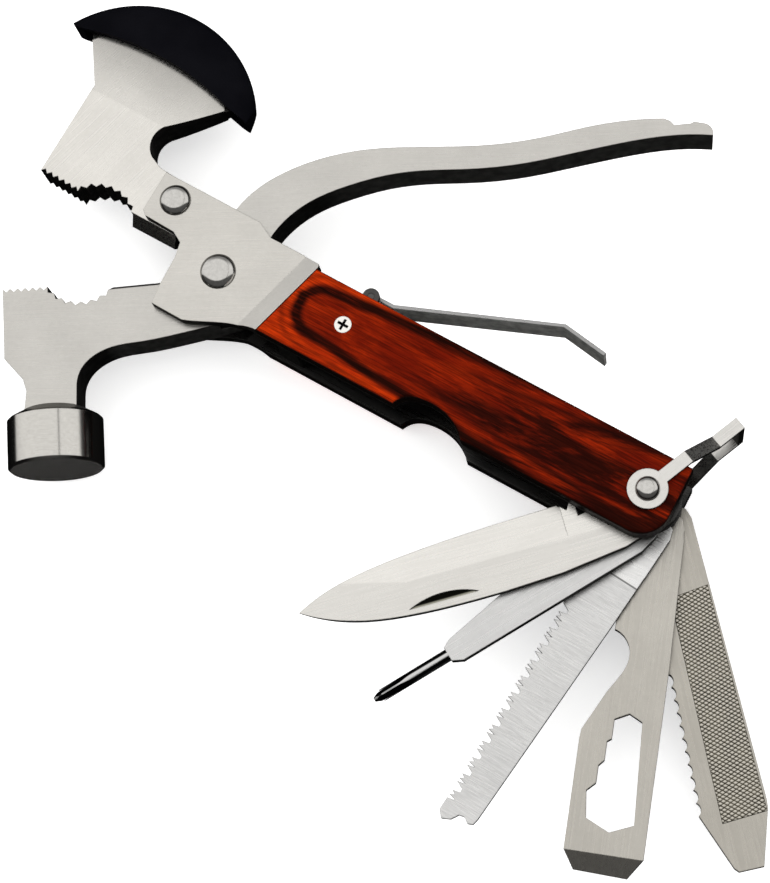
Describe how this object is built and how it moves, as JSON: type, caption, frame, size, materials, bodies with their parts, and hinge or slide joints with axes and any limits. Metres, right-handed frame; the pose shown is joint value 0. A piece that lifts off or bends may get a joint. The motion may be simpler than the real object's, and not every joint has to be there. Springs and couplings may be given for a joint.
{
  "type": "multi tool",
  "caption": "Folding hand tool: a hammer and an axe head form plier jaws at one end of a wood-clad handle, with fold-out blades and a locking bail at the other end.",
  "frame": {"origin": "middle of the grip, on the outer face of the back wood scale", "axes": "+X along the handle from the head to the tail, +Y from the handle towards the plier arm, +Z through the tool's thickness towards its front face"},
  "size_m": [0.2525, 0.1776, 0.0316],
  "materials": {
    "forged_steel": "satin brushed",
    "plate_steel": "satin",
    "blade_steel": "ground satin",
    "spring_steel": "satin",
    "rivet_steel": "polished",
    "handle_wood": "satin lacquer",
    "guard_rubber": "matte"
  },
  "bodies": {
    "handle": {"front_frame_plate": "plate_steel", "back_frame_plate": "plate_steel", "front_bolster": "forged_steel", "back_bolster": "forged_steel", "front_wood_scale": "handle_wood", "back_wood_scale": "handle_wood", "front_scale_screw": "rivet_steel", "back_scale_screw": "rivet_steel", "main_pivot_rivet": "rivet_steel", "jaw_rivet": "rivet_steel", "tail_rivet": "rivet_steel", "axe_head": "forged_steel", "handle_spacer": "plate_steel", "spacer_pin": "plate_steel", "leaf_spring_pin": "rivet_steel", "spring_pin": "rivet_steel", "knife_back_spring": "spring_steel", "driver_back_spring": "spring_steel", "saw_back_spring": "spring_steel", "wrench_back_spring": "spring_steel", "file_back_spring": "spring_steel", "divider_plate_1": "plate_steel", "divider_plate_2": "plate_steel", "divider_plate_3": "plate_steel", "divider_plate_4": "plate_steel"},
    "plier_arm": {"hammer_plier_arm": "forged_steel"},
    "leaf": {"leaf_spring": "spring_steel"},
    "guard": {"edge_guard": "guard_rubber"},
    "bail": {"lock_bail": "plate_steel"},
    "knife": {"knife_blade": "blade_steel"},
    "driver": {"phillips_driver": "blade_steel"},
    "saw": {"saw_blade": "blade_steel"},
    "wrench": {"wrench_opener": "blade_steel"},
    "file": {"file_scaler": "blade_steel"}
  },
  "joints": [
    {"name": "plier_arm_pivot", "type": "hinge", "parent": "handle", "child": "plier_arm", "pos_m": [-0.07, -0.001, 0.0129], "axis": [0, 0, 1], "range_deg": [-34, 0]},
    {"name": "leaf_spring_hinge", "type": "hinge", "parent": "handle", "child": "leaf", "pos_m": [-0.0335, 0.0112, 0.0129], "axis": [0, 0, 1], "range_deg": [-10.8, 0], "stiffness_Nm_per_rad": 0.6},
    {"name": "edge_guard_slide", "type": "slide", "parent": "handle", "child": "guard", "axis": [0, 1, 0], "range_m": [0, 0.024]},
    {"name": "bail_hinge", "type": "hinge", "parent": "handle", "child": "bail", "pos_m": [0.0483, 0.0005, 0.0129], "axis": [0, 0, 1], "range_deg": [-64, 27.5]},
    {"name": "knife_hinge", "type": "hinge", "parent": "handle", "child": "knife", "pos_m": [0.0483, 0.0005, 0.0129], "axis": [0, 0, 1], "range_deg": [-45, 135]},
    {"name": "driver_hinge", "type": "hinge", "parent": "handle", "child": "driver", "pos_m": [0.0483, 0.0005, 0.0129], "axis": [0, 0, 1], "range_deg": [-61, 119]},
    {"name": "saw_hinge", "type": "hinge", "parent": "handle", "child": "saw", "pos_m": [0.0483, 0.0005, 0.0129], "axis": [0, 0, 1], "range_deg": [-86, 94]},
    {"name": "wrench_hinge", "type": "hinge", "parent": "handle", "child": "wrench", "pos_m": [0.0483, 0.0005, 0.0129], "axis": [0, 0, 1], "range_deg": [-111.2, 68.8]},
    {"name": "file_hinge", "type": "hinge", "parent": "handle", "child": "file", "pos_m": [0.0483, 0.0005, 0.0129], "axis": [0, 0, 1], "range_deg": [-132.5, 47.5]}
  ],
  "couplings": [
    {"joint": "leaf_spring_hinge", "follows": "plier_arm_pivot", "ratio": 0.315}
  ]
}
